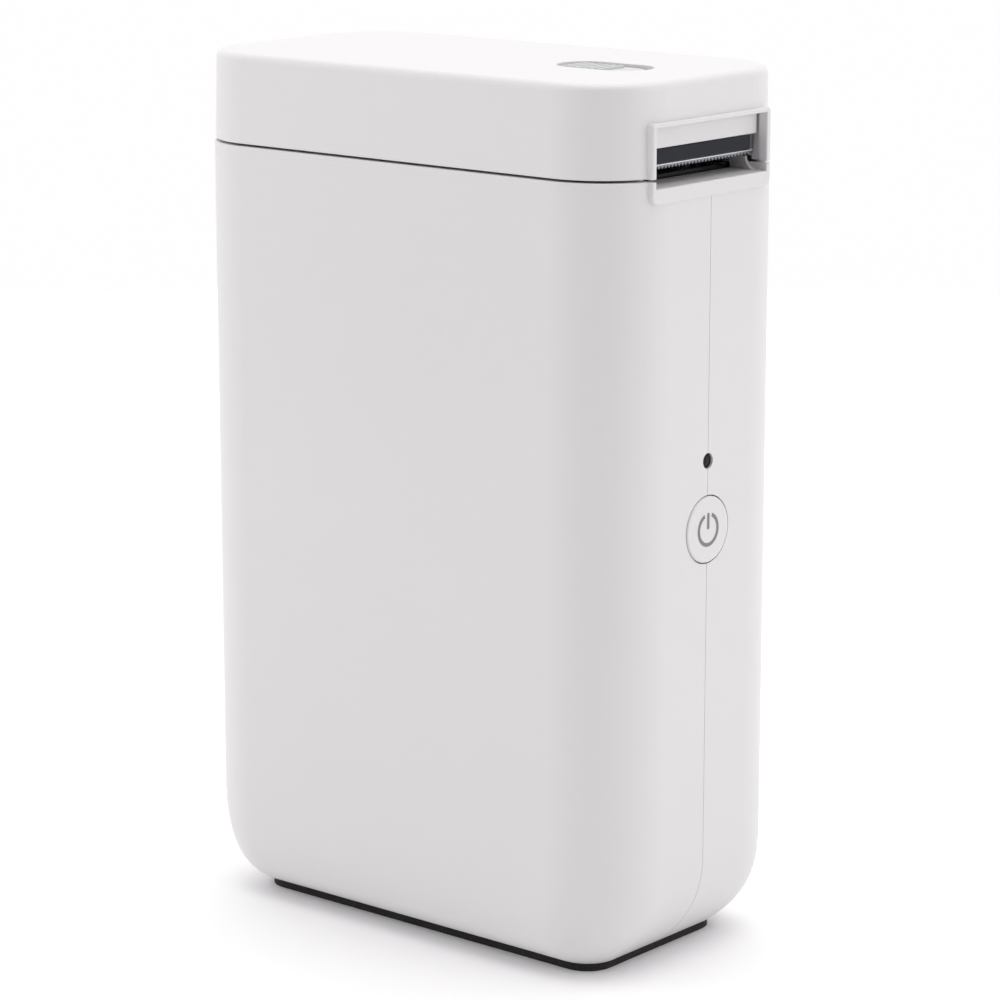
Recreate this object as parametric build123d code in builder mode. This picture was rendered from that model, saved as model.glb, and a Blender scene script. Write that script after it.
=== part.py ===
"""Upright thermal label printer: two half shells, a hinged lid with the label slot, and the print works.

+Z is up, +X is the narrow end with the slot and the power button, and -Y is one of the two wide faces.
The origin is the centre of the foot pad's underside. All sizes are millimetres.
"""

import os
from math import cos, pi, radians, sin, sqrt, tan

from build123d import *

os.makedirs("parts", exist_ok=True)

# ---- Outer form ----
width = 85.6  # along X, over the two narrow ends
depth = 44.8  # along Y, over the two wide faces
height = 134.8  # floor to the top of the lid
corner_r = 12.0  # upright corners in plan
wall = 1.8
lid_depth = 14.1  # seam to the top of the lid
foot_rise = 16.0  # height over which the walls curve in towards the underside
foot_end_in, foot_end_power = 8.2, 2.4  # how far the narrow ends come in, and how late in the rise
foot_face_in, foot_face_power = 5.9, 6.6  # the same for the wide faces
parting_gap = 0.08  # between the two half shells
seam_gap = 0.35  # between lid and body
seam_z = height - lid_depth

# ---- Clearances ----
fit = 0.15  # loose pieces in their pockets
turn_fit = 0.05  # a shaft in its bore
part_fit = 0.3  # pieces that pass each other

# ---- Foot pad ----
pad_proud = 1.4
pad_sunk = 0.6
pad_margin = 0.5
shell_z = pad_proud  # underside of the shells

# ---- Label slot ----
slot_width = 26.6
slot_bar = 0.9  # side bars of the slot frame
slot_low_z = seam_z - 1.1  # top of the body's lip
slot_high_z = seam_z + 7.6
frame_low_z = slot_low_z - 2.2
frame_high_z = slot_high_z + 0.7
frame_proud = 0.25  # how far the frame stands out of the narrow end
frame_x = width / 2 + frame_proud
frame_depth = 1.5
ledge_depth = 6.0
edge_r = 0.25
frame_width = slot_width + 2 * slot_bar
lip_corner_r = 1.2
lip_rise = 0.1  # the lip's floor climbs this much inwards
ear_y = (slot_width / 2 - 0.8, slot_width / 2 - 0.3)  # the lip's end ears, inside the lid's frame
ear_z = seam_z + 0.9
ear_front = 1.2  # where an ear's hollow front meets the floor

# ---- Lid ----
lid_inset = 0.2
lid_draft = 1.2  # degrees
lid_edge_r = 1.2
lid_top = 2.0
lid_low_z = seam_z + seam_gap
lid_inner_z = height - lid_top

# ---- Lid hinge ----
hinge_x = -width / 2 + 2.4
hinge_z = seam_z
knuckle_r = 2.0
hinge_pin_r = 0.8
hinge_half = 13.0
lid_knuckle_half = 6.8
liner_back_x = hinge_x + 3.9

# ---- Works: side plates, label bay ----
bay_width = 26.6
plate = 1.2
bay_r = 27.0
bay_x = hinge_x + 28.8
bay_z = 92.0
bay_rim_z = seam_z - 3.2
plate_y = bay_width / 2  # inner face of a side plate
plate_low_z = 62.0
plate_high_z = seam_z - 0.5
plate_front_x = width / 2 - ledge_depth - 0.6
plate_back_x = hinge_x + 2.9

# ---- Platen and gears, axles along Y ----
module = 0.6
tooth_play = 0.14
pinion_teeth, wheel_teeth, step_teeth, drive_teeth, platen_teeth = 10, 24, 12, 20, 16
platen_r = 5.25
platen_x = 30.0
platen_z = seam_z + 5.3
platen_half = 13.0
platen_shaft_r = 1.5
axle_r = 1.0
motor_shaft_r = 0.8
gear_face = 1.6
cheek = (plate_y + 0.4, plate_y + 2.0)  # the lid's cheeks that hold the platen
layer_1 = (cheek[1] + 0.3, cheek[1] + 0.3 + gear_face)  # platen gear, drive gear and step gear
layer_2 = (layer_1[1] + 0.4, layer_1[1] + 0.4 + gear_face)  # wheel and pinion

# ---- Print head ----
head_x = (24.6, plate_front_x)
head_half = plate_y - 0.4
nip_gap = 0.4
head_top_z = platen_z - platen_r - nip_gap
ceramic = 1.05
heatsink = 2.0
trunnion_x = head_x[0] + 1.2
trunnion_z = head_top_z - ceramic - heatsink / 2

# ---- Power button, status light, USB socket ----
button_z, button_r, button_travel = 67.5, 5.05, 0.6
button_gap = 0.18
button_proud = 0.2
light_z, light_r = 77.9, 1.15
usb_z = 23.1
board_x = 35.0
board_t = 1.2

# ---- Release slider in the lid ----
release_x, release_length, release_width = 23.0, 16.0, 9.0
release_depth = 1.3
release_travel = 1.5
release_gap = 0.25
cap_length = release_length - 2 * release_gap - release_travel
hook_x, nose = 10.0, 1.2
hook_y = (17.0, 18.4)
catch_z = (seam_z - 2.7, seam_z - 1.1)

# ---- Half shell screws ----
screw_places = [(-29.0, 33.0), (26.0, 22.5), (-29.0, 56.0), (26.0, 56.0)]
boss_r, screw_r, screw_head_r = 2.8, 1.0, 2.0


# ---- Shared shapes ----
def across(x, y, z):
    """Plane facing -Y at a point, so a sketch on it is drawn in X and Z."""
    return Plane(origin=(x, y, z), x_dir=(1, 0, 0), z_dir=(0, -1, 0))


def facing(x, y, z):
    """Plane facing +X at a point, so a sketch on it is drawn in Y and Z."""
    return Plane(origin=(x, y, z), x_dir=(0, 1, 0), z_dir=(1, 0, 0))


def block(x, y, z, mode=Mode.ADD):
    """Box between two limits on each axis."""
    with Locations(((x[0] + x[1]) / 2, (y[0] + y[1]) / 2, (z[0] + z[1]) / 2)):
        Box(x[1] - x[0], y[1] - y[0], z[1] - z[0], mode=mode)


def rod(x, y, z, r, mode=Mode.ADD):
    """Cylinder along Y between two Y limits, round the axis through x and z."""
    with BuildSketch(across(x, y[1], z)) as disc:
        Circle(r)
    extrude(disc.sketch, amount=y[1] - y[0], mode=mode)


def stub(x, y, z, r, mode=Mode.ADD):
    """Cylinder along X between two X limits, round the axis through y and z."""
    with BuildSketch(facing(x[0], y, z)) as disc:
        Circle(r)
    extrude(disc.sketch, amount=x[1] - x[0], mode=mode)


def foot_inset(h):
    """How far the narrow ends and the wide faces stand in at height h above the shell's underside."""
    left = 1 - h / foot_rise
    return foot_end_in * left**foot_end_power, foot_face_in * left**foot_face_power


def foot_outline(h, skin):
    """Plan outline of the foot at height h, taken in by skin: length, width and corner radius."""
    end, face = foot_inset(h)
    return width - 2 * (end + skin), depth - 2 * (face + skin), corner_r - (end + face) / 2 - skin


def body_form(skin, bottom, top):
    """The body's outer form taken in by skin, from bottom above the shell's underside up to top."""
    steps = 10
    with BuildPart() as form:
        for k in range(steps + 1):
            h = bottom + (foot_rise - bottom) * (k / steps) ** 1.9
            with BuildSketch(Plane.XY.offset(shell_z + h)):
                RectangleRounded(*foot_outline(h, skin))
        loft()
        with BuildSketch(Plane.XY.offset(shell_z + foot_rise)):
            RectangleRounded(width - 2 * skin, depth - 2 * skin, corner_r - skin)
        extrude(amount=top - shell_z - foot_rise)
    return form.part


def gear(x, z, teeth, y, phase, bore_r):
    """Spur gear along Y with straight-sided teeth, one of them centred at phase degrees from +X to +Z."""
    pitch_r = module * teeth / 2
    root_r, tip_r = pitch_r - 1.2 * module, pitch_r + 0.9 * module
    half = pi * module / 4 - tooth_play / 2
    slope = tan(radians(20))
    root_half, tip_half = half + 1.2 * module * slope, half - 0.9 * module * slope
    with BuildPart() as wheel:
        with BuildSketch(across(x, y[1], z)):
            Circle(root_r)
            with PolarLocations(0, teeth, start_angle=phase):
                Polygon(
                    (root_r - 0.4, -root_half), (tip_r, -tip_half), (tip_r, tip_half), (root_r - 0.4, root_half),
                    align=None,
                )
            Circle(bore_r, mode=Mode.SUBTRACT)
        extrude(amount=y[1] - y[0])
    return wheel.part


def mesh_phase(teeth_a, phase_a, teeth_b, angle):
    """Phase that puts a gap of gear b on a tooth of gear a, when b lies at angle degrees from a."""
    return angle + 180 + (angle - phase_a) * teeth_a / teeth_b + 180 / teeth_b


def coil(start, turns, length, r, wire_r):
    """Compression spring on a plane whose normal is the spring's axis."""
    with BuildPart() as spring:
        with BuildLine(start) as path:
            Helix(pitch=length / turns, height=length, radius=r)
        with BuildSketch(Plane(origin=path.line @ 0, z_dir=path.line % 0)):
            Circle(wire_r)
        sweep(is_frenet=True)
    return spring.part


def hinge_relief():
    """Cuts a wedge behind the hinge axis, 45 degrees up and down, and room for the knuckles."""
    reach = 4.0
    with BuildSketch(across(hinge_x, depth / 2, hinge_z)) as wedge:
        with BuildLine():
            Polyline((0, 0), (-reach, reach), (-reach, -reach), (0, 0))
        make_face()
    extrude(wedge.sketch, amount=depth, mode=Mode.SUBTRACT)
    room = hinge_half + part_fit
    rod(hinge_x, (-room, room), hinge_z, knuckle_r + part_fit, Mode.SUBTRACT)


# ---- Gear places, from the platen down to the motor ----
lift = (platen_x - hinge_x, platen_z - hinge_z)  # from the hinge axis to the platen's axis
lift_size = sqrt(lift[0] ** 2 + lift[1] ** 2)
drive_reach = module * (platen_teeth + drive_teeth) / 2
drive_x = platen_x + lift[1] / lift_size * drive_reach
drive_z = platen_z - lift[0] / lift_size * drive_reach
drive_angle = -90 + (drive_x - platen_x) / drive_reach * 180 / pi  # from the platen gear to the drive gear
wheel_angle = 215.0  # from the drive gear to the wheel
wheel_reach = module * (drive_teeth + step_teeth) / 2
wheel_x = drive_x + wheel_reach * cos(radians(wheel_angle))
wheel_z = drive_z + wheel_reach * sin(radians(wheel_angle))
motor_angle = 290.0  # from the wheel to the motor
motor_reach = module * (wheel_teeth + pinion_teeth) / 2
motor_x = wheel_x + motor_reach * cos(radians(motor_angle))
motor_z = wheel_z + motor_reach * sin(radians(motor_angle))
motor_r = 6.9
flange_length, flange_width = 2 * motor_r + 7, 5.0  # the motor's ears, at 45 degrees
flange_half = (flange_length - flange_width) / 2 * cos(radians(45)) + flange_width / 2
shelf_z = motor_z + flange_half + 0.42 + plate  # carries the head springs, clear of the motor

platen_phase = 0.0
drive_phase = mesh_phase(platen_teeth, platen_phase, drive_teeth, drive_angle)
step_phase = mesh_phase(drive_teeth, drive_phase, step_teeth, wheel_angle)
wheel_phase = 0.0
pinion_phase = mesh_phase(wheel_teeth, wheel_phase, pinion_teeth, motor_angle)

# ---- Half shells ----
inner_y = depth / 2 - wall
boss_seat_y = 8.4
with BuildPart() as body_blank:
    add(body_form(0, 0, seam_z))
    fillet(edges().group_by(Axis.Z)[-1], edge_r)
    add(body_form(wall, wall, seam_z), mode=Mode.SUBTRACT)
    # pocket for the lip under the label slot
    with BuildSketch(facing(width / 2 - ledge_depth, 0, (frame_low_z + seam_z) / 2)):
        Rectangle(frame_width, seam_z - frame_low_z)
        fillet(vertices().group_by(Axis.Y)[0], lip_corner_r)
    extrude(amount=ledge_depth + 1, mode=Mode.SUBTRACT)
    # screw bosses
    for x, z in screw_places:
        rod(x, (-inner_y, inner_y), z, boss_r)
    for x, z in screw_places:
        rod(x, (-inner_y + 6, depth / 2 + 1), z, screw_r + fit / 2, Mode.SUBTRACT)
        rod(x, (boss_seat_y, depth / 2 + 1), z, screw_head_r + fit, Mode.SUBTRACT)
    # holes for the button, the light and the socket
    stub((width / 2 - 3, width / 2 + 1), 0, button_z, button_r + button_gap, Mode.SUBTRACT)
    stub((width / 2 - 3, width / 2 + 1), 0, light_z, light_r + turn_fit, Mode.SUBTRACT)
    with BuildSketch(facing(-width / 2 - 1, 0, usb_z)):
        RectangleRounded(9.5, 3.8, 1.7)
    extrude(amount=4, mode=Mode.SUBTRACT)
    # relief behind the hinge
    hinge_relief()
    # recess for the foot pad
    with BuildSketch(Plane.XY.offset(shell_z)):
        RectangleRounded(*foot_outline(0, pad_margin - fit))
    extrude(amount=pad_sunk, mode=Mode.SUBTRACT)

with BuildPart() as front_shell:
    add(body_blank.part)
    split(bisect_by=Plane.XZ.offset(parting_gap / 2), keep=Keep.TOP)

with BuildPart() as rear_shell:
    add(body_blank.part)
    split(bisect_by=Plane.XZ.offset(-parting_gap / 2), keep=Keep.BOTTOM)

with BuildPart() as slot_lip:
    with BuildSketch(facing(width / 2 - ledge_depth, 0, (frame_low_z + seam_z) / 2)):
        Rectangle(frame_width, seam_z - frame_low_z)
        fillet(vertices().group_by(Axis.Y)[0], lip_corner_r)
    extrude(amount=ledge_depth + frame_proud)
    with BuildSketch(across(frame_x, slot_width / 2, slot_low_z)):
        with BuildLine():
            Polyline((0.1, 0), (-ledge_depth - 1, lip_rise), (-ledge_depth - 1, 5), (0.1, 5), (0.1, 0))
        make_face()
    extrude(amount=slot_width, mode=Mode.SUBTRACT)
    fillet(edges().group_by(Axis.X)[-1], edge_r)
    # ears at both ends, hollowed in front by a quarter circle
    ear_r = ear_z - slot_low_z
    for side in (-1, 1):
        y = sorted((side * ear_y[0], side * (slot_width / 2 + 0.1)))
        with BuildSketch(across(width / 2, y[1], 0)):
            with BuildLine():
                Polyline((-ear_front, slot_low_z), (-ear_front, slot_low_z - 0.5), (-ledge_depth, slot_low_z - 0.5),
                         (-ledge_depth, ear_z), (-ear_front - ear_r, ear_z))
                ThreePointArc(
                    (-ear_front - ear_r, ear_z),
                    (-ear_front - ear_r * cos(radians(45)), ear_z - ear_r * sin(radians(45))),
                    (-ear_front, slot_low_z),
                )
            make_face()
        extrude(amount=y[1] - y[0])
        block(
            (width / 2 - ledge_depth - 1, width / 2), sorted((side * ear_y[1], side * (slot_width / 2 + 1))),
            (seam_z, ear_z + 1), Mode.SUBTRACT,
        )

with BuildPart() as foot_pad:
    with BuildSketch():
        RectangleRounded(*foot_outline(0, pad_margin))
    extrude(amount=pad_proud + pad_sunk)

with BuildPart() as shell_screws:
    for x, z in screw_places:
        rod(x, (boss_seat_y - 12, boss_seat_y), z, screw_r)
        rod(x, (boss_seat_y, boss_seat_y + 1.4), z, screw_head_r)
        with BuildSketch(across(x, boss_seat_y + 1.4, z)):
            Rectangle(2.4, 0.5)
            Rectangle(0.5, 2.4)
        extrude(amount=0.8, mode=Mode.SUBTRACT)

# ---- Lid shell ----
with BuildPart() as lid_shell:
    with BuildSketch(Plane.XY.offset(lid_low_z)):
        RectangleRounded(width - 2 * lid_inset, depth - 2 * lid_inset, corner_r - lid_inset)
    extrude(amount=height - lid_low_z, taper=lid_draft)
    fillet(edges().group_by(Axis.Z)[-1], lid_edge_r)
    fillet(edges().group_by(Axis.Z)[0], edge_r)
    draft_in = (lid_inner_z - lid_low_z) * tan(radians(lid_draft))
    lid_skin = lid_inset + draft_in + wall
    with BuildSketch(Plane.XY.offset(lid_low_z)):
        RectangleRounded(width - 2 * lid_skin, depth - 2 * lid_skin, corner_r - lid_skin)
    extrude(amount=lid_inner_z - lid_low_z, mode=Mode.SUBTRACT)
    # slot frame
    inner_end_x = width / 2 - lid_skin
    with BuildSketch(facing(inner_end_x, 0, (lid_low_z + frame_high_z) / 2)):
        Rectangle(frame_width, frame_high_z - lid_low_z)
        fillet(vertices().group_by(Axis.Y)[-1], 0.6)
    extrude(amount=frame_x - inner_end_x)
    pocket_high_z = frame_high_z - 0.3
    block(
        (inner_end_x - 1, frame_x - frame_depth), (-slot_width / 2 - 0.4, slot_width / 2 + 0.4),
        (lid_low_z - 1, pocket_high_z), Mode.SUBTRACT,
    )
    block(
        (inner_end_x - 1, frame_x + 1), (-slot_width / 2, slot_width / 2), (lid_low_z - 1, slot_high_z),
        Mode.SUBTRACT,
    )
    fillet(edges().group_by(Axis.X)[-1], edge_r)
    # relief behind the hinge
    hinge_relief()
    # recess and slot for the release slider
    recess_z = height - release_depth
    with BuildSketch(Plane.XY.offset(recess_z)):
        with Locations((release_x, 0)):
            SlotOverall(release_length, release_width)
    extrude(amount=release_depth, mode=Mode.SUBTRACT)
    cap_x = release_x - release_length / 2 + release_gap
    stem_x = (cap_x + 3, cap_x + 7)
    block(
        (stem_x[0] - part_fit, stem_x[1] + release_travel + part_fit), (-2.3, 2.3), (lid_inner_z - 1, recess_z + 1),
        Mode.SUBTRACT,
    )

# ---- Lid liner: cheeks for the platen, roof plate and the lid's hinge knuckle ----
rail_z = lid_inner_z - 1.6
roof_x = 1.0
bush_r = 2.5
with BuildPart() as lid_liner:
    block((liner_back_x, roof_x), (-17.2, 17.2), (lid_inner_z - 1.2, lid_inner_z))
    for side in (-1, 1):
        with BuildSketch(across(0, max(side * cheek[0], side * cheek[1]), 0)):
            with BuildLine():
                Polyline(
                    (liner_back_x, lid_inner_z - 1.2), (liner_back_x, rail_z - 3.5),
                    (platen_x - 9, rail_z - 3.5),
                    (platen_x - 5.5, seam_z + 1.6), (platen_x + 5.4, seam_z + 1.6), (platen_x + 5.4, rail_z),
                    (roof_x, rail_z), (roof_x, lid_inner_z - 1.2), (liner_back_x, lid_inner_z - 1.2),
                )
            make_face()
        extrude(amount=cheek[1] - cheek[0])
    rod(platen_x, (-cheek[1], cheek[1]), platen_z, bush_r, Mode.SUBTRACT)
    # knuckle and web
    with BuildSketch(across(0, lid_knuckle_half, 0)):
        with BuildLine():
            Polyline(
                (hinge_x, hinge_z), (hinge_x + 0.4, lid_inner_z - 1.2), (hinge_x + 6, lid_inner_z - 1.2),
                (hinge_x + 2, hinge_z + 0.3), (hinge_x, hinge_z),
            )
        make_face()
    extrude(amount=2 * lid_knuckle_half)
    rod(hinge_x, (-lid_knuckle_half, lid_knuckle_half), hinge_z, knuckle_r)
    rod(hinge_x, (-lid_knuckle_half, lid_knuckle_half), hinge_z, hinge_pin_r + turn_fit, Mode.SUBTRACT)

with BuildPart() as hinge_pin:
    rod(hinge_x, (-hinge_half, hinge_half), hinge_z, hinge_pin_r)

# ---- Slot panel, blade and blade cover ----
frame_back_x = frame_x - frame_depth
blade_x = inner_end_x - 0.1
blade_t = 0.4
blade_low_z = seam_z + 1.3
cover_z = (blade_low_z + 0.85, blade_low_z + 3.0)
panel_back_x = blade_x - 1.2
panel_half = slot_width / 2 - 0.3
with BuildPart() as slot_panel:
    block((panel_back_x, blade_x), (-panel_half, panel_half), (cover_z[0] + 0.2, pocket_high_z - 0.15))
    tongue_half = depth / 2 - corner_r - 0.4
    block((panel_back_x, blade_x), (-tongue_half, tongue_half), (pocket_high_z - 0.15, rail_z + 0.6))
    block(
        (blade_x, frame_back_x - 0.3), (-panel_half, panel_half), (cover_z[1] + 0.15, pocket_high_z - 0.15)
    )

tooth_pitch = 0.8
tooth_count = round((slot_width - 1.0) / tooth_pitch)
blade_half = tooth_pitch * tooth_count / 2
with BuildPart() as tear_blade:
    with BuildSketch(facing(blade_x, 0, 0)):
        with Locations((0, (blade_low_z + tooth_pitch / 2 + cover_z[1]) / 2)):
            Rectangle(2 * blade_half, cover_z[1] - blade_low_z - tooth_pitch / 2)
        with GridLocations(tooth_pitch, 0, tooth_count, 1):
            with Locations((0, blade_low_z)):
                Polygon(
                    (0, 0), (tooth_pitch / 2, tooth_pitch * 0.6), (-tooth_pitch / 2, tooth_pitch * 0.6), align=None
                )
    extrude(amount=blade_t)

with BuildPart() as blade_cover:
    with BuildSketch(facing(blade_x + blade_t, 0, (cover_z[0] + cover_z[1]) / 2)):
        Rectangle(slot_width - 4.0, cover_z[1] - cover_z[0])
    extrude(amount=0.5)
    chamfer(edges().filter_by(Axis.Y).group_by(Axis.X)[-1].sort_by(Axis.Z)[0], 0.2)

# ---- Platen ----
with BuildPart() as platen_shaft:
    rod(platen_x, (-cheek[1] - 0.6, layer_1[1] + 0.5), platen_z, platen_shaft_r)

with BuildPart() as platen_rubber:
    rod(platen_x, (-platen_half, platen_half), platen_z, platen_r)
    fillet(edges().filter_by(GeomType.CIRCLE), 0.3)
    rod(platen_x, (-platen_half, platen_half), platen_z, platen_shaft_r, Mode.SUBTRACT)

with BuildPart() as platen_bushes:
    for side in (-1, 1):
        y = sorted((side * cheek[0], side * cheek[1]))
        rod(platen_x, y, platen_z, bush_r)
        rod(platen_x, y, platen_z, platen_shaft_r + turn_fit, Mode.SUBTRACT)

with BuildPart() as platen_gear:
    add(gear(platen_x, platen_z, platen_teeth, layer_1, platen_phase, platen_shaft_r))

# ---- Gear train in the body ----
with BuildPart() as drive_gear:
    add(gear(drive_x, drive_z, drive_teeth, layer_1, drive_phase, axle_r + turn_fit))

with BuildPart() as compound_gear:
    add(gear(wheel_x, wheel_z, wheel_teeth, layer_2, wheel_phase, axle_r + turn_fit))
    add(gear(wheel_x, wheel_z, step_teeth, (layer_1[0], layer_2[0]), step_phase, axle_r + turn_fit))

with BuildPart() as gear_axles:
    for x, z, y in ((drive_x, drive_z, layer_1[1]), (wheel_x, wheel_z, layer_2[1])):
        rod(x, (plate_y, y + 0.7), z, axle_r)
        rod(x, (y + 0.12, y + 0.42), z, axle_r + 0.5)

with BuildPart() as motor_pinion:
    add(gear(motor_x, motor_z, pinion_teeth, layer_2, pinion_phase, motor_shaft_r))

motor_y = (-0.7, plate_y - 0.8)
with BuildPart() as motor_can:
    rod(motor_x, motor_y, motor_z, motor_r)
    fillet(edges().filter_by(GeomType.CIRCLE), 0.6)
    rod(motor_x, (motor_y[0] + 2, motor_y[1]), motor_z, motor_shaft_r + turn_fit, Mode.SUBTRACT)

with BuildPart() as motor_flange:
    with BuildSketch(across(motor_x, plate_y, motor_z)):
        Circle(motor_r)
        SlotOverall(flange_length, flange_width, rotation=45)
        Circle(motor_shaft_r + 0.6, mode=Mode.SUBTRACT)
    extrude(amount=plate_y - motor_y[1])

with BuildPart() as motor_shaft:
    rod(motor_x, (motor_y[0] + 2.5, layer_2[1] + 0.4), motor_z, motor_shaft_r)

# ---- Chassis: side plates, label bay, deck, shelf and hinge ears ----
bay_outer_r = bay_r + plate
with BuildPart() as chassis:
    with BuildSketch(across(0, plate_y + plate, 0)):
        with Locations(((plate_back_x + plate_front_x) / 2, (plate_low_z + plate_high_z) / 2)):
            Rectangle(plate_front_x - plate_back_x, plate_high_z - plate_low_z)
        chamfer(vertices().group_by(Axis.Y)[0], 12)
    extrude(amount=2 * (plate_y + plate))
    block(
        (plate_back_x - 1, plate_front_x + 1), (-plate_y, plate_y), (plate_low_z - 1, plate_high_z + 1),
        Mode.SUBTRACT,
    )
    with BuildSketch(across(bay_x, plate_y, bay_z)):
        Circle(bay_outer_r)
        with Locations((0, (bay_rim_z - bay_z) / 2)):
            Rectangle(2 * bay_outer_r, bay_rim_z - bay_z)
        with Locations((0, bay_outer_r / 2 + bay_rim_z - bay_z)):
            Rectangle(2 * bay_outer_r, bay_outer_r, mode=Mode.SUBTRACT)
        Circle(bay_r, mode=Mode.SUBTRACT)
        with Locations((0, bay_outer_r / 2)):
            Rectangle(2 * bay_r, bay_outer_r, mode=Mode.SUBTRACT)
    extrude(amount=2 * plate_y)
    block((bay_x + bay_r, head_x[0] - 1.6), (-plate_y, plate_y), (bay_rim_z - 0.2, bay_rim_z + 1))
    block((head_x[0] - 2.6, plate_front_x), (-plate_y, plate_y), (shelf_z - plate, shelf_z))
    # posts that meet the half shells
    for x, z in ((-28, 72), (4, 66), (28, 84)):
        for side in (-1, 1):
            rod(x, sorted((side * plate_y, side * inner_y)), z, 2.2)
    # ears of the lid hinge
    for side in (-1, 1):
        y = sorted((side * (lid_knuckle_half + 0.2), side * hinge_half))
        with BuildSketch(across(hinge_x, y[1], hinge_z)):
            with BuildLine():
                Polyline((0, 0), (0, -14), (2.6, -14), (2.0, 0), (0, 0))
            make_face()
        extrude(amount=y[1] - y[0])
        rod(hinge_x, y, hinge_z, knuckle_r)
        rod(hinge_x, y, hinge_z, hinge_pin_r, Mode.SUBTRACT)
    # bores for axles, head trunnions and the motor shaft
    for x, z in ((drive_x, drive_z), (wheel_x, wheel_z)):
        rod(x, (plate_y, plate_y + plate), z, axle_r, Mode.SUBTRACT)
    rod(motor_x, (plate_y, plate_y + plate), motor_z, motor_shaft_r + 0.6, Mode.SUBTRACT)
    rod(
        trunnion_x, (-plate_y - plate, plate_y + plate), trunnion_z, 0.9 + turn_fit, Mode.SUBTRACT
    )

with BuildPart() as latch_keepers:
    for side in (-1, 1):
        block(
            (4.0, hook_x - nose - part_fit), sorted((side * (plate_y + plate), side * hook_y[1])), catch_z
        )

# ---- Print head ----
with BuildPart() as head_heatsink:
    block(head_x, (-head_half, head_half), (head_top_z - ceramic - heatsink, head_top_z - ceramic))
    rod(trunnion_x, (-plate_y - plate + 0.1, plate_y + plate - 0.1), trunnion_z, 0.9)

with BuildPart() as print_head:
    block((head_x[0] + 3.6, head_x[1]), (-head_half, head_half), (head_top_z - ceramic, head_top_z - 0.1))
    # raised heater line under the platen
    with BuildSketch(across(platen_x, 12.4, head_top_z - 0.1)):
        with Locations((0, 0.05)):
            Rectangle(1.6, 0.1)
    extrude(amount=24.8)

with BuildPart() as head_cover:
    with BuildSketch(across(0, head_half, head_top_z - ceramic)):
        with BuildLine():
            Polyline(
                (head_x[0], 0), (head_x[0] + 3.4, 0), (head_x[0] + 3.4, ceramic), (head_x[0] + 1.4, ceramic),
                (head_x[0], 0.4), (head_x[0], 0),
            )
        make_face()
    extrude(amount=2 * head_half)

spring_places = [(30.5, -8.0), (30.5, 8.0)]
spring_wire = 0.25
spring_low_z, spring_high_z = shelf_z + spring_wire, head_top_z - ceramic - heatsink - spring_wire
with BuildPart() as head_springs:
    for x, y in spring_places:
        add(coil(Plane(origin=(x, y, spring_low_z)), 6, spring_high_z - spring_low_z, 1.7, spring_wire))

# ---- Gap sensor ----
with BuildPart() as gap_sensor:
    block((bay_x + bay_r + 1.8, bay_x + bay_r + 6), (-3, 3), (bay_rim_z + 1, bay_rim_z + 2.2))
    with Locations((bay_x + bay_r + 3.9, 0, bay_rim_z + 2.2)):
        Cylinder(0.9, 0.4, align=(Align.CENTER, Align.CENTER, Align.MIN))

# ---- Boards ----
board_y = plate_y - 0.5
with BuildPart() as main_board:
    block((board_x, board_x + board_t), (-board_y, board_y), (24, 99))
    # driver chip, controller and inductor
    for z, y, size, rise in ((84, 5, 9, 1.2), (52, 0, 10, 1.4), (36, -6, 6, 2.6)):
        block((board_x - rise, board_x), (y - size / 2, y + size / 2), (z - size / 2, z + size / 2))

with BuildPart() as tact_switch:
    block((board_x + board_t, board_x + board_t + 1.6), (-3, 3), (button_z - 3, button_z + 3))
    stub((board_x + board_t + 1.6, board_x + board_t + 2.2), 0, button_z, 1.6)

with BuildPart() as status_led:
    block((board_x + board_t, board_x + board_t + 1.0), (-0.8, 0.8), (light_z - 0.5, light_z + 0.5))

with BuildPart() as light_pipe:
    stub((board_x + board_t + 1.4, width / 2 - 0.35), 0, light_z, light_r)
    stub((board_x + board_t + 1.4, width / 2 - wall - 0.1), 0, light_z, light_r + 0.9)

with BuildPart() as head_connector:
    block((board_x - 2.2, board_x), (-11, -3), (88.4, 92.4))

usb_board_x = (-width / 2 + wall + 0.6, -width / 2 + wall + 16)
with BuildPart() as usb_board:
    block(usb_board_x, (-9, 9), (usb_z - 2.8, usb_z - 1.7))
    block((usb_board_x[0] + 10, usb_board_x[0] + 14), (-3, 3), (usb_z - 1.7, usb_z - 0.6))

with BuildPart() as usb_socket:
    with BuildSketch(facing(-width / 2 + 0.7, 0, usb_z)):
        RectangleRounded(8.9, 3.4, 1.5)
        RectangleRounded(8.3, 2.8, 1.2, mode=Mode.SUBTRACT)
    extrude(amount=7.6)
    with BuildSketch(facing(-width / 2 + 7.3, 0, usb_z)):
        RectangleRounded(8.9, 3.4, 1.5)
    extrude(amount=1)
    with BuildSketch(facing(-width / 2 + 1.9, 0, usb_z)):
        Rectangle(6.6, 0.7)
    extrude(amount=5.6)

# ---- Battery and leads ----
battery_x, battery_half, battery_z = (-24.0, 16.0), 5.5, (18.0, 54.0)
with BuildPart() as battery:
    block(battery_x, (-battery_half, battery_half), battery_z)
    fillet(edges().filter_by(Axis.Z), 1.5)

with BuildPart() as battery_cradle:
    block(
        (battery_x[0] - 1.5, battery_x[1] + 1.5), (-inner_y + 3, inner_y - 3),
        (battery_z[0] - 1.2, battery_z[0]),
    )
    for side in (-1, 1):
        y = sorted((side * (battery_half + 0.2), side * (battery_half + 1.4)))
        block((battery_x[0] + 6, battery_x[1] - 6), y, battery_z)

with BuildPart() as battery_lead:
    for y in (-1.2, 1.2):
        with BuildLine():
            FilletPolyline(
                (battery_x[1], y, 48), (battery_x[1] + 7, y, 48), (battery_x[1] + 11, y, 44), (board_x, y, 44),
                radius=2.4,
            )
        with BuildSketch(facing(battery_x[1], y, 48)):
            Circle(0.6)
        sweep()

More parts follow.
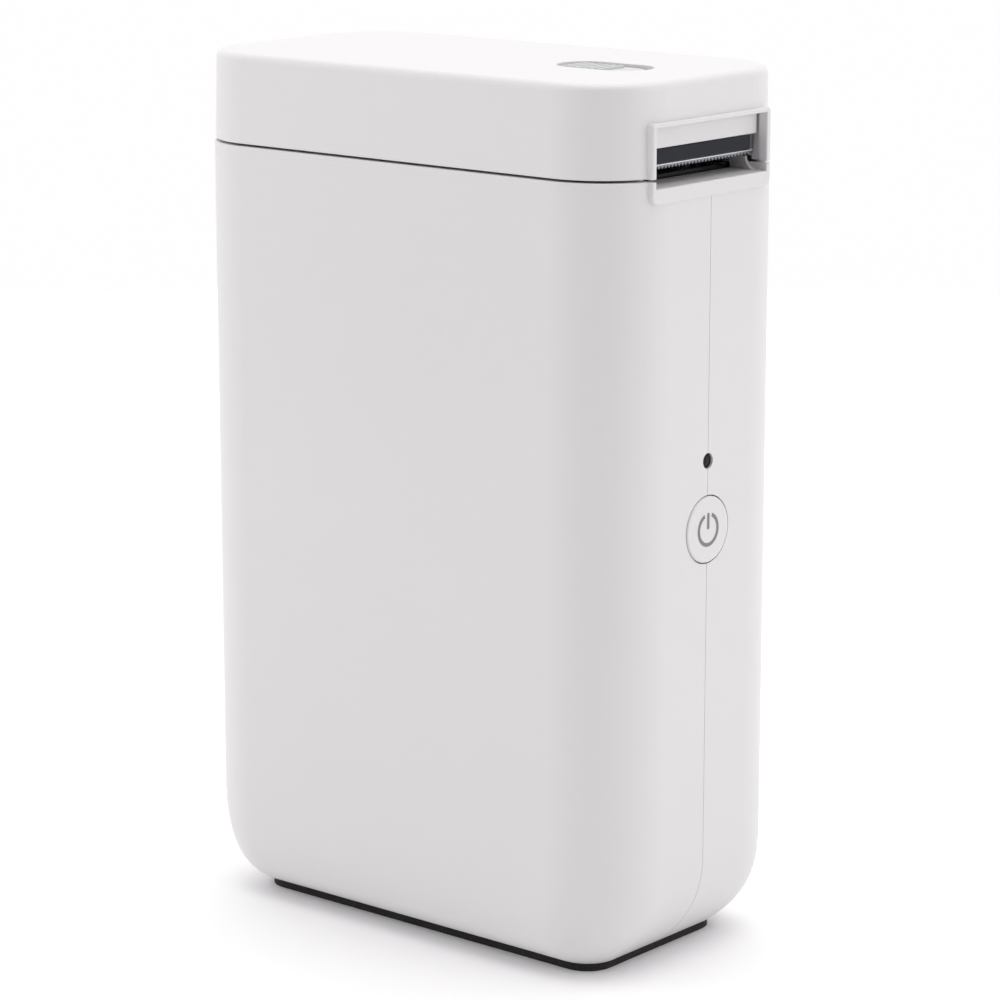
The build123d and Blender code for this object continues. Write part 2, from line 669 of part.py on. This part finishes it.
ribbon_t = 0.25
with BuildPart() as head_ribbon:
    with BuildSketch(across(0, -3.2, 0)):
        with BuildLine():
            FilletPolyline(
                (head_x[0] - 0.4, bay_rim_z - 1.4), (20.6, bay_rim_z - 3.6), (20.6, 95.0), (25, 90.4),
                (board_x - 2.2, 90.4), radius=1.6,
            )
        trace(line_width=ribbon_t)
    extrude(amount=7.6)

# ---- Power button ----
button_face_x = width / 2 + button_proud
flange_x = width / 2 - wall - 0.25
with BuildPart() as power_button:
    stub((flange_x, button_face_x), 0, button_z, button_r)
    fillet(edges().group_by(Axis.X)[-1], 0.35)
    stub((flange_x - 0.9, flange_x), 0, button_z, button_r + 0.8)
    stub((board_x + board_t + 2.2 + button_travel + 0.1, flange_x), 0, button_z, 1.6)

# ---- Release slider and latch ----
cap_top_z = height - 0.45
with BuildPart() as release_button:
    with BuildSketch(Plane.XY.offset(recess_z + 0.1)):
        with Locations((cap_x + cap_length / 2, 0)):
            SlotOverall(cap_length, release_width - 2 * release_gap)
    extrude(amount=cap_top_z - recess_z - 0.1)
    # grip ribs
    rib_pitch = 1.35
    for k in range(6):
        rib_x = cap_x + 1.6 + k * rib_pitch
        block((rib_x, rib_x + 0.6), (-3.0, 3.0), (cap_top_z - 0.1, cap_top_z + 0.35))
    block(stem_x, (-2.0, 2.0), (lid_inner_z - 0.2, recess_z + 0.1))

slide_z = (lid_inner_z - 1.2, lid_inner_z - 0.2)
with BuildPart() as latch_slide:
    block((roof_x + 3, stem_x[1] + 1), (-hook_y[1], hook_y[1]), slide_z)
    for side in (-1, 1):
        with BuildSketch(across(0, max(side * hook_y[0], side * hook_y[1]), 0)):
            with BuildLine():
                Polyline(
                    (hook_x, slide_z[1]), (hook_x, catch_z[0] - part_fit),
                    (hook_x - nose, catch_z[0] - part_fit), (hook_x - nose, catch_z[0] - part_fit - 0.5),
                    (hook_x + 0.4, seam_z - 5.0), (hook_x + 3, seam_z - 5.0), (hook_x + 3, slide_z[1]),
                    (hook_x, slide_z[1]),
                )
            make_face()
        extrude(amount=hook_y[1] - hook_y[0])

pieces = {
    "front_shell": front_shell,
    "rear_shell": rear_shell,
    "foot_pad": foot_pad,
    "shell_screws": shell_screws,
    "slot_lip": slot_lip,
    "chassis": chassis,
    "hinge_pin": hinge_pin,
    "gear_axles": gear_axles,
    "drive_gear": drive_gear,
    "compound_gear": compound_gear,
    "motor_can": motor_can,
    "motor_flange": motor_flange,
    "motor_shaft": motor_shaft,
    "motor_pinion": motor_pinion,
    "print_head": print_head,
    "head_heatsink": head_heatsink,
    "head_cover": head_cover,
    "head_springs": head_springs,
    "head_ribbon": head_ribbon,
    "head_connector": head_connector,
    "gap_sensor": gap_sensor,
    "main_board": main_board,
    "tact_switch": tact_switch,
    "status_led": status_led,
    "light_pipe": light_pipe,
    "usb_board": usb_board,
    "usb_socket": usb_socket,
    "battery": battery,
    "battery_cradle": battery_cradle,
    "battery_lead": battery_lead,
    "power_button": power_button,
    "lid_shell": lid_shell,
    "lid_liner": lid_liner,
    "slot_panel": slot_panel,
    "tear_blade": tear_blade,
    "blade_cover": blade_cover,
    "platen_shaft": platen_shaft,
    "platen_rubber": platen_rubber,
    "platen_bushes": platen_bushes,
    "platen_gear": platen_gear,
    "release_button": release_button,
    "latch_slide": latch_slide,
    "latch_keepers": latch_keepers,
}
for name, piece in pieces.items():
    piece.part.label = name
    export_step(piece.part, f"parts/{name}.step")
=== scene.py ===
# %% [markdown]
# # A small upright label printer
#
# The works, the shells and every size come from the CAD model, which is loaded here as a fixed frame.
# Blender adds the finishes, the printed symbol, the floor, the light and the camera.

# %% Load the frame
import math

import bmesh
import bpy
import numpy as np
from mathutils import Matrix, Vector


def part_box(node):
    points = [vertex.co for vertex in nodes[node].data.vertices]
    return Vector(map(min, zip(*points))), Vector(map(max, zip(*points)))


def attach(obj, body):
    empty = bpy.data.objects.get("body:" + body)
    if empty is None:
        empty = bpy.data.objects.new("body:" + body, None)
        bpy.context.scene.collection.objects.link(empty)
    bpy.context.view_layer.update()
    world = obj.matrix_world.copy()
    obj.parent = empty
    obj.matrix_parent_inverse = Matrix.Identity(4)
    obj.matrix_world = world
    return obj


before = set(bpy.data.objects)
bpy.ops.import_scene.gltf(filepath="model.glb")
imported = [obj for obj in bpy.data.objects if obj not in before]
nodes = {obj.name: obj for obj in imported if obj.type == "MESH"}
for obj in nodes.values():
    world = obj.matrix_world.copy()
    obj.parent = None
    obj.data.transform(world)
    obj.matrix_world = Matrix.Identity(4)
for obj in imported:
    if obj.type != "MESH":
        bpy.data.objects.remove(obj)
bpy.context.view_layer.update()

# %% [markdown]
# ## Camera
#
# The camera is placed as in a studio: an azimuth and an elevation round the object, a distance, and a long
# lens so that upright edges stay nearly parallel. Working from angles, rather than from a typed position,
# keeps the numbers readable.

# %% Camera
MM = 0.001
azimuth, elevation = math.radians(40.0), math.radians(12.8)
distance = 568 * MM
lens_mm = 131.4
across_shift, up_shift = 2.07 * MM, -3.0 * MM
look_at_height = 68.8 * MM

back = np.array([math.sin(azimuth) * math.cos(elevation),
                 -math.cos(azimuth) * math.cos(elevation),
                 math.sin(elevation)])
right = np.array([math.cos(azimuth), math.sin(azimuth), 0.0])
up = np.cross(back, right)
place = np.array([0, 0, look_at_height]) + across_shift * right + up_shift * up + distance * back

camera_data = bpy.data.cameras.new("studio_camera")
camera_data.lens = lens_mm
camera_data.sensor_width = 36
camera_data.clip_start = 0.05
camera_data.clip_end = 30
camera = bpy.data.objects.new("studio_camera", camera_data)
bpy.context.scene.collection.objects.link(camera)
camera.location = place
camera.rotation_euler = (math.pi / 2 - elevation, 0, azimuth)
bpy.context.scene.camera = camera
print("camera at", place.round(4))

# %% [markdown]
# ## Writing shader maths as expressions
#
# A finish is mostly arithmetic on a position or a noise value. A small class wraps a socket, so that
# `0.3 + 0.1 * noise` adds the Math nodes itself.

# %% Socket class


class Wire:
    """One output socket, whose + and * are Math nodes."""

    def __init__(self, shader, socket):
        self.shader, self.socket = shader, socket

    def math(self, operation, other):
        """Adds a Math node that works on this value and another."""
        return self.shader.node("ShaderNodeMath", {"operation": operation}, [self, other])

    def __add__(self, other):
        return self.math("ADD", other)

    __radd__ = __add__

    def __mul__(self, other):
        return self.math("MULTIPLY", other)

    __rmul__ = __mul__


print("operators", [name for name in vars(Wire) if name.startswith("__r")])

# %% [markdown]
# ## Building a material
#
# A second class holds a material while it is built. Any node comes from one method, `node`, which takes the
# node's type, then its settings, then the values or links of its sockets. The other methods name the few
# nodes that nearly every finish here needs.

# %% Material helper


class Finish:
    """A material under construction, with its Principled shader."""

    def __init__(self, name, **constants):
        self.material = bpy.data.materials.new(name)
        self.material.use_nodes = True
        self.tree = self.material.node_tree
        self.shader = self.tree.nodes["Principled BSDF"]
        for socket, value in constants.items():
            self.shader.inputs[socket.replace("_", " ")].default_value = value

    def node(self, kind, settings=None, inputs=(), output=0):
        """Adds a node: its settings first, then each input's value or link, by order or by name."""
        made = self.tree.nodes.new(kind)
        for key, value in (settings or {}).items():
            setattr(made, key, value)
        pairs = inputs.items() if isinstance(inputs, dict) else enumerate(inputs)
        for key, value in pairs:
            if isinstance(value, Wire):
                self.tree.links.new(value.socket, made.inputs[key])
            else:
                made.inputs[key].default_value = value
        return Wire(self, made.outputs[output])

    def feed(self, socket, wire):
        """Links a value to one of the Principled shader's sockets."""
        self.tree.links.new(wire.socket, self.shader.inputs[socket])

    def position(self):
        """Object coordinates, in metres."""
        return self.node("ShaderNodeTexCoord", output="Object")

    def noise(self, scale, detail=2.0, where=None):
        """Noise from 0 to 1, with scale features to the metre."""
        return self.node("ShaderNodeTexNoise", {},
                         {"Vector": where or self.position(), "Scale": scale, "Detail": detail})

    def ramp(self, value, low, high, out_low, out_high):
        """Carries value from one range to another, held at both ends."""
        return self.node("ShaderNodeMapRange", {"clamp": True}, [value, low, high, out_low, out_high])

    def mix(self, share, first, second):
        """Blend of two colours. The Mix node's colour sockets are numbers 6 and 7, its colour output is 2."""
        made = self.tree.nodes.new("ShaderNodeMix")
        made.data_type = "RGBA"
        for key, value in ((0, share), (6, first), (7, second)):
            if isinstance(value, Wire):
                self.tree.links.new(value.socket, made.inputs[key])
            else:
                made.inputs[key].default_value = value
        return Wire(self, made.outputs[2])

    def bump(self, height, distance_m):
        """Sends a height to the shader's normal, distance_m deep at height 1."""
        bumped = self.node("ShaderNodeBump", {}, {"Strength": 1.0, "Distance": distance_m, "Height": height})
        self.feed("Normal", bumped)


def rgb(r, g, b):
    """Opaque colour."""
    return (r, g, b, 1.0)


# %% [markdown]
# ## Moulded plastic
#
# The casing is white ABS from a spark-eroded mould: a very fine grain that catches light softly. Two noises
# do it: one of about a third of a millimetre for the grain, and a broad one, hardly visible, for the
# slight change in gloss and shade that any moulding has. Grain goes to a Bump node, because carving it as
# geometry would cost millions of faces for something finer than a hair.

# %% Plastic finishes


def moulded(name, colour, rough=0.45, grain=3200, depth=0.00002):
    """Moulded plastic: fine grain as bump, broad drift in shade and gloss."""
    finish = Finish(name, IOR=1.5)
    broad = finish.noise(14, 3)
    fine = finish.noise(grain, 2)
    drift = 0.02
    shade = [c * (1 - drift) for c in colour]
    low_stop, high_stop = 0.3, 0.7
    share = finish.ramp(broad, low_stop, high_stop, 0, 1)
    gloss = finish.ramp(broad, low_stop, high_stop, rough - 0.03, rough + 0.03)
    finish.feed("Base Color", finish.mix(share, rgb(*shade), rgb(*colour)))
    finish.feed("Roughness", gloss + 0.04 * fine)
    finish.bump(fine, depth)
    return finish.material


def assign(material, *names):
    """Puts a material on CAD nodes."""
    for name in names:
        slots = nodes[name].data.materials
        slots.clear()
        slots.append(material)


white = (0.705, 0.688, 0.698)
lid_tone = tuple(1.01 * c for c in white)
shell_white = moulded("shell_white", white, rough=0.42, grain=3400, depth=0.000012)
lid_white = moulded("lid_white", lid_tone, rough=0.42, grain=3400, depth=0.000012)
inner_grey = moulded("inner_grey", (0.42, 0.42, 0.43), rough=0.5)
button_white = moulded("button_white", white, rough=0.32, grain=5000, depth=0.000006)
button_grey = moulded("button_grey", (0.60, 0.61, 0.605), rough=0.5)
black_plastic = moulded("black_plastic", (0.012, 0.012, 0.013), rough=0.5)
acetal = moulded("acetal", (0.78, 0.76, 0.70), rough=0.3, grain=1500, depth=0.000005)
cable_red = moulded("cable_red", (0.42, 0.02, 0.015), rough=0.35)
assign(shell_white, "front_shell", "rear_shell", "slot_lip")
assign(lid_white, "lid_shell", "slot_panel")
assign(inner_grey, "lid_liner", "head_connector")
assign(button_white, "power_button")
assign(button_grey, "release_button")
assign(black_plastic, "chassis", "gap_sensor", "battery_cradle", "head_cover", "latch_slide")
assign(acetal, "drive_gear", "compound_gear", "platen_gear", "platen_bushes")
assign(cable_red, "battery_lead")
print("plastics", len(bpy.data.materials))

# %% [markdown]
# ## Rubber
#
# The foot pad and the platen are black rubber. Ground rubber is dull, with a fine pitted surface, so its
# roughness is high and its bump is a sharper noise than the plastic's.

# %% Rubber


def rubber(name, colour, pit_scale, pit_depth):
    """Dull rubber with fine pits."""
    finish = Finish(name, IOR=1.45)
    pits = finish.ramp(finish.noise(pit_scale, 4), 0.35, 0.6, 0, 1)
    dust = finish.noise(60, 3)
    dusty = [c * 2 + 0.01 for c in colour]
    finish.feed("Base Color", finish.mix(finish.ramp(dust, 0.45, 0.8, 0, 0.5), rgb(*colour), rgb(*dusty)))
    finish.feed("Roughness", 0.72 + 0.12 * dust)
    finish.bump(pits, pit_depth)
    return finish.material


assign(rubber("foot_rubber", (0.008, 0.008, 0.009), 1800, 0.00004), "foot_pad")
assign(rubber("platen_rubber", (0.02, 0.02, 0.022), 4000, 0.00001), "platen_rubber")
print("with rubber", len(bpy.data.materials))

# %% [markdown]
# ## Metals
#
# Rolled sheet and ground shafts carry their working marks in one direction. Noise stretched along an axis
# gives such lines: the position is scaled by a different amount on each axis before it reaches the noise.

# %% Metals


def metal(name, colour, rough, stretch=(1, 1, 1), scale=900, marks=0.000003):
    """Bare metal with marks drawn out along one axis."""
    finish = Finish(name, Metallic=1.0)
    drawn = finish.node("ShaderNodeVectorMath", {"operation": "MULTIPLY"}, [finish.position(), stretch])
    lines = finish.noise(scale, 3, drawn)
    broad = finish.noise(40, 2)
    finish.feed("Base Color", finish.mix(lines, rgb(*[0.85 * c for c in colour]), rgb(*colour)))
    finish.feed("Roughness", rough - 0.06 + 0.12 * lines + 0.05 * broad)
    finish.bump(lines, marks)
    return finish.material


steel = metal("blade_steel", (0.27, 0.28, 0.31), 0.36, stretch=(1, 0.06, 1))
shaft_steel = metal("shaft_steel", (0.62, 0.62, 0.63), 0.22, stretch=(1, 0.1, 1))
spring_steel = metal("spring_steel", (0.45, 0.45, 0.47), 0.3)
zinc = metal("zinc_plate", (0.60, 0.61, 0.62), 0.38, scale=300)
brass = metal("brass", (0.78, 0.58, 0.26), 0.28, scale=500)
aluminium = metal("aluminium", (0.74, 0.75, 0.76), 0.35, stretch=(0.08, 1, 1))
foil = metal("cell_foil", (0.66, 0.67, 0.69), 0.42, scale=120, marks=0.00002)
assign(steel, "tear_blade")
assign(shaft_steel, "hinge_pin", "gear_axles", "motor_shaft", "platen_shaft")
assign(spring_steel, "head_springs")
assign(zinc, "latch_keepers", "shell_screws", "motor_can", "motor_flange", "tact_switch", "usb_socket")
assign(brass, "motor_pinion")
assign(aluminium, "head_heatsink")
assign(foil, "battery")
print("with metals", len(bpy.data.materials))

# %% [markdown]
# ## Glossy and electronic pieces
#
# The strip over the blade is polished dark plastic, the status light sits behind a smoked pipe, and the
# boards have green mask with a faint trace of copper below it.

# %% Glossy pieces


def polished(name, colour, rough=0.12, gloss=0.5):
    """Polished plastic with faint waviness and fingerprints in the gloss."""
    finish = Finish(name, IOR=1.52, Specular_IOR_Level=gloss)
    smudge = finish.noise(180, 4)
    finish.feed("Base Color", finish.mix(smudge, rgb(*[0.9 * c for c in colour]), rgb(*colour)))
    finish.feed("Roughness", finish.ramp(smudge, 0.4, 0.75, rough, rough + 0.12))
    finish.bump(finish.noise(90, 1), 0.00002)
    return finish.material


def board(name):
    """Circuit board: green mask with lighter tracks from a grid of cells."""
    finish = Finish(name, IOR=1.5)
    cells = finish.node("ShaderNodeTexVoronoi", {"distance": "CHEBYCHEV", "feature": "F1"},
                        {"Vector": finish.position(), "Scale": 420})
    tracks = finish.ramp(cells, 0.42, 0.46, 0, 1)
    finish.feed("Base Color", finish.mix(tracks, rgb(0.012, 0.09, 0.045), rgb(0.03, 0.16, 0.08)))
    finish.feed("Roughness", 0.32 + 0.1 * finish.noise(200))
    finish.bump(tracks, 0.00003)
    return finish.material


assign(polished("cover_dark", (0.010, 0.0115, 0.018), gloss=0.16), "blade_cover")
assign(polished("smoked_lens", (0.006, 0.006, 0.007), rough=0.2, gloss=0.15), "light_pipe")
assign(polished("led_epoxy", (0.75, 0.75, 0.66), rough=0.2), "status_led")
assign(polished("glazed_ceramic", (0.016, 0.018, 0.017), rough=0.16), "print_head")
assign(polished("ribbon_film", (0.42, 0.19, 0.03), rough=0.2), "head_ribbon")
assign(board("board_green"), "main_board", "usb_board")
print("with glossy pieces", len(bpy.data.materials))

# %% [markdown]
# ## Building surfaces from grids
#
# The added pieces are thin films, beads and domes. Each is a grid of points from a formula in two
# parameters, and one function turns any such grid into a mesh of quads, so every piece has the same
# clean topology. It also merges points that coincide, which closes a seam and the pole of a dome.

# %% Sheet helper
same_point = 0.0001 * MM


def sheet(name, grid, material, body):
    """Object from one grid or a list of grids shaped (rows, columns, 3), whose neighbours join in quads."""
    grids = grid if isinstance(grid, list) else [grid]
    points, quads, start = [], [], 0
    for one in grids:
        rows, columns, _ = one.shape
        index = np.arange(rows * columns).reshape(rows, columns) + start
        points.append(one.reshape(-1, 3))
        corners = [index[:-1, :-1], index[1:, :-1], index[1:, 1:], index[:-1, 1:]]
        quads.append(np.stack(corners, -1).reshape(-1, 4))
        start += rows * columns
    mesh = bpy.data.meshes.new(name)
    mesh.from_pydata(np.concatenate(points).tolist(), [], np.concatenate(quads).tolist())
    joined = bmesh.new()
    joined.from_mesh(mesh)
    bmesh.ops.remove_doubles(joined, verts=joined.verts, dist=same_point)
    joined.to_mesh(mesh)
    joined.free()
    mesh.polygons.foreach_set("use_smooth", [True] * len(mesh.polygons))
    mesh.materials.append(material)
    mesh.update()
    made = bpy.data.objects.new(name, mesh)
    bpy.context.scene.collection.objects.link(made)
    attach(made, body)
    print(name, "faces", len(mesh.polygons))


# %% [markdown]
# ## Printed power symbol
#
# The button carries the usual standby symbol: a ring open at the top and a bar through the gap. It is
# printed ink, so it is a film a few hundredths of a millimetre proud of the button.

# %% Power symbol
button_low, button_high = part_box("power_button")
ink_lift = 0.02 * MM
ink_x = button_high.x + ink_lift
button_z = (button_low.z + button_high.z) / 2
ring_r, stroke = 2.3 * MM, 0.58 * MM
ring_gap = math.radians(22)
bar_half, bar_centre = 1.28 * MM, 1.3 * MM


def ring_film():
    """Ring: (ink_x, r cos a, button_z + r sin a), r over the stroke, a all round but for the gap on top."""
    r = np.array([ring_r - stroke / 2, ring_r + stroke / 2])[:, None]
    a = np.linspace(math.pi / 2 + ring_gap, math.pi * 2.5 - ring_gap, 72)[None, :]
    return np.stack(np.broadcast_arrays(ink_x, r * np.cos(a), button_z + r * np.sin(a)), -1)


def bar_film():
    """Upright bar with round ends: half width = stroke/2 * sqrt(1 - e^2), e = how far into a round end."""
    s = np.linspace(-1, 1, 41)[None, :]
    end_r = stroke / 2
    end = np.clip((np.abs(s) * bar_half - bar_half + end_r) / end_r, 0, 1)
    half = end_r * np.sqrt(np.maximum(1 - end**2, 1e-4))
    side = np.array([-1.0, 1.0])[:, None]
    return np.stack(np.broadcast_arrays(ink_x, side * half, button_z + bar_centre + bar_half * s), -1)


ink = moulded("symbol_ink", (0.20, 0.20, 0.205), rough=0.55, grain=6000, depth=0.000003)
sheet("power_symbol", [ring_film(), bar_film()], ink, "power_button")

# %% [markdown]
# ## Bead under the blade's cover
#
# The tear blade is folded along its lower edge, just above the teeth, which stiffens it. The fold shows as
# a thin bright line under the dark strip. It is half a round bar laid along the blade, closed at its ends.
# Its steel is painted far lighter than the blade's, a painted highlight for the line of light along the fold.

# %% Blade bead
cover_low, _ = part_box("blade_cover")
blade_low, blade_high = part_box("tear_blade")
bead_r, bead_depth, bead_margin = 0.16 * MM, 0.3 * MM, 0.3 * MM


def half_bar(ends, centre_x, centre_z, rx, rz, turn):
    """Half bar along Y: (x + k rx cos a, y, z + k rz sin a), a over half a turn, k = sin q at a round end."""
    a = np.linspace(turn - math.pi / 2, turn + math.pi / 2, 10)[:, None]
    q = np.linspace(0, math.pi / 2, 6)
    inset = max(rx, rz) * (1 - np.cos(q))
    y = np.concatenate([ends[0] + inset, (ends[1] - inset)[::-1]])[None, :]
    k = np.concatenate([np.sin(q), np.sin(q)[::-1]])[None, :]
    x, z = centre_x + k * rx * np.cos(a), centre_z + k * rz * np.sin(a)
    return np.stack(np.broadcast_arrays(x, y, z), -1)


bead = half_bar((blade_low.y + bead_margin, blade_high.y - bead_margin), blade_high.x,
                cover_low.z - bead_r, bead_depth, bead_r, turn=0.0)
# Far lighter steel than the blade's own: a painted highlight for the bright line along the fold.
painted_highlight_steel = metal("painted_highlight_steel", (0.85, 0.85, 0.87), 0.4, stretch=(1, 0.06, 1))
sheet("blade_bead", bead[::-1], painted_highlight_steel, "lid")

# %% [markdown]
# ## Heater line on the print head
#
# A thermal head prints with one row of heating dots under a glass hump. The hump is a low half bar that
# lies on the raised line of the ceramic, right under the platen. It has an amber tint from the resistor
# film below the glass.

# %% Heater line
head_low, head_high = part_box("print_head")
platen_low, platen_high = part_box("platen_rubber")
hump_half, hump_rise, hump_margin = 0.5 * MM, 0.07 * MM, 1.0 * MM
hump = half_bar((head_low.y + hump_margin, head_high.y - hump_margin), (platen_low.x + platen_high.x) / 2,
                head_high.z, hump_half, hump_rise, turn=math.pi / 2)
heater_glass = polished("heater_glass", (0.30, 0.15, 0.04), rough=0.1)
sheet("heater_line", hump[::-1], heater_glass, "head")

# %% [markdown]
# ## Status light's lens
#
# The light pipe ends in a shallow dome, which spreads the light. A dome is a disc whose height falls with
# the square of the radius.

# %% Lens dome
pipe_low, pipe_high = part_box("light_pipe")
lens_r, lens_rise = 1.05 * MM, 0.14 * MM
pipe_z = (pipe_low.z + pipe_high.z) / 2


def dome():
    """Disc of radius lens_r: (x + lens_rise * (1 - (r / lens_r)^2), r cos a, z + r sin a)."""
    r = np.linspace(0, 1, 12)[:, None] * lens_r
    a = np.linspace(0, 2 * math.pi, 49)[None, :]
    lift = lens_rise * (1 - (r / lens_r) ** 2)
    return np.stack(np.broadcast_arrays(pipe_high.x + lift, r * np.cos(a), pipe_z + r * np.sin(a)), -1)


lens_clear = polished("lens_clear", (0.006, 0.006, 0.007), rough=0.2, gloss=0.15)
sheet("status_lens", dome(), lens_clear, "body")

# %% [markdown]
# ## Contacts in the charging socket
#
# The socket's tongue has twelve gilt contacts on each face. They are thin pads at half a millimetre's
# pitch, arched a little so that their edges catch the light.

# %% Socket contacts
socket_low, socket_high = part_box("usb_socket")
tongue_z = (socket_low.z + socket_high.z) / 2
tongue_half_t = 0.35 * MM
pad_x = (socket_low.x + 1.45 * MM, socket_low.x + 4.2 * MM)
pad_count, pad_pitch, pad_half = 12, 0.5 * MM, 0.14 * MM
pad_lift, pad_arch = 0.02 * MM, 0.03 * MM


def pad(y, face):
    """Pad at y on the tongue's upper (1) or lower (-1) face: a low arch, z = face * (t + h (1 - s^2))."""
    s = np.linspace(-1, 1, 5)[:, None]
    x = np.linspace(*pad_x, 2)[None, :]
    z = tongue_z + face * (tongue_half_t + pad_lift + pad_arch * (1 - s**2))
    grid = np.stack(np.broadcast_arrays(x, y + face * pad_half * s, z), -1)
    return grid[::-1]


middle_pad = (pad_count - 1) / 2
pads = [pad((k - middle_pad) * pad_pitch, face) for k in range(pad_count) for face in (1, -1)]
gold = metal("contact_gold", (0.83, 0.62, 0.28), 0.25, scale=2000, marks=0.000001)
sheet("usb_contacts", pads, gold, "body")

# %% [markdown]
# ## Floor
#
# The floor is a round white disc, one face with many sides. It glows a very little, so that it stays as
# white as the world behind it and its edge nearly disappears. The contact shadow under the foot still
# shows, and it is what sets the object down.

# %% Floor
floor_r, floor_sides = 0.6, 96
a = np.linspace(0, 2 * math.pi, floor_sides + 1)[:-1]
rim = np.stack(np.broadcast_arrays(floor_r * np.cos(a), floor_r * np.sin(a), 0.0), -1)
floor_mesh = bpy.data.meshes.new("floor")
floor_mesh.from_pydata(rim.tolist(), [], [tuple(range(floor_sides))])
floor = bpy.data.objects.new("floor", floor_mesh)
bpy.context.scene.collection.objects.link(floor)
floor_finish = Finish("floor_white", Base_Color=rgb(0.92, 0.915, 0.92), Roughness=0.6,
                      Emission_Color=rgb(1, 1, 1), Emission_Strength=0.04)
floor_mesh.materials.append(floor_finish.material)
print("floor radius", floor_r)

# %% [markdown]
# ## Light
#
# A bright, even set: a big soft source overhead, two weaker ones from the right and the left, and a white
# world all round. The object is white on white, so its faces must differ only a little.

# %% Lights


def softbox(name, place, aim, size, power):
    """Square area light at a place, turned to face a point."""
    data = bpy.data.lights.new(name, "AREA")
    data.energy = power
    data.size = size
    lamp = bpy.data.objects.new(name, data)
    bpy.context.scene.collection.objects.link(lamp)
    lamp.location = place
    toward = np.array(aim) - np.array(place)
    pitch = math.atan2(math.hypot(toward[0], toward[1]), -toward[2])
    lamp.rotation_euler = (pitch, 0, math.atan2(toward[1], toward[0]) - math.pi / 2)
    print(name, power, "W")


middle = (0, 0, 0.07)
softbox("top_light", (0.0, 0.1, 1.3), middle, size=1.2, power=7.0)
softbox("right_light", (1.2, 0.25, 0.45), middle, size=0.7, power=2.2)
softbox("left_light", (-1.0, -0.9, 0.5), middle, size=0.8, power=2.2)

world = bpy.data.worlds.new("studio_world")
bpy.context.scene.world = world
world.use_nodes = True
background = world.node_tree.nodes["Background"]
background.inputs["Color"].default_value = rgb(1.0, 0.995, 1.0)
background.inputs["Strength"].default_value = 1.0

# %% [markdown]
# ## Flag
#
# A white object in white surroundings loses its edges. In a studio, a grey card called a flag stands out of
# frame, and the surfaces that turn towards it darken a little. Here one card stands behind the camera and
# shades the upright corner between the two faces in view. The Standard view transform then keeps the
# whites as bright as they were lit.

# %% Flag
flag_finish = Finish("flag_grey", Roughness=0.9)
dark_grey, mid_grey = rgb(0.10, 0.10, 0.10), rgb(0.14, 0.14, 0.14)
flag_finish.feed("Base Color", flag_finish.mix(flag_finish.noise(3), dark_grey, mid_grey))
floor_gap = 1.0 * MM


def flag(name, bearing_deg, reach, wide, tall):
    """Upright card facing the object, at a bearing counted from -Y towards +X."""
    bearing = math.radians(bearing_deg)
    outward = np.array([math.sin(bearing), -math.cos(bearing), 0])
    sideways = np.array([math.cos(bearing), math.sin(bearing), 0])
    corners = [reach * outward + s * wide / 2 * sideways + np.array([0, 0, h * tall + floor_gap])
               for s, h in ((-1, 0), (1, 0), (1, 1), (-1, 1))]
    mesh = bpy.data.meshes.new(name)
    mesh.from_pydata([tuple(c) for c in corners], [], [(3, 2, 1, 0)])
    mesh.materials.append(flag_finish.material)
    card = bpy.data.objects.new(name, mesh)
    bpy.context.scene.collection.objects.link(card)
    card.visible_camera = False
    print(name, "at", reach, "m")


flag("camera_flag", bearing_deg=44, reach=0.9, wide=1.3, tall=1.1)

bpy.context.scene.view_settings.view_transform = "Standard"

# %% [markdown]
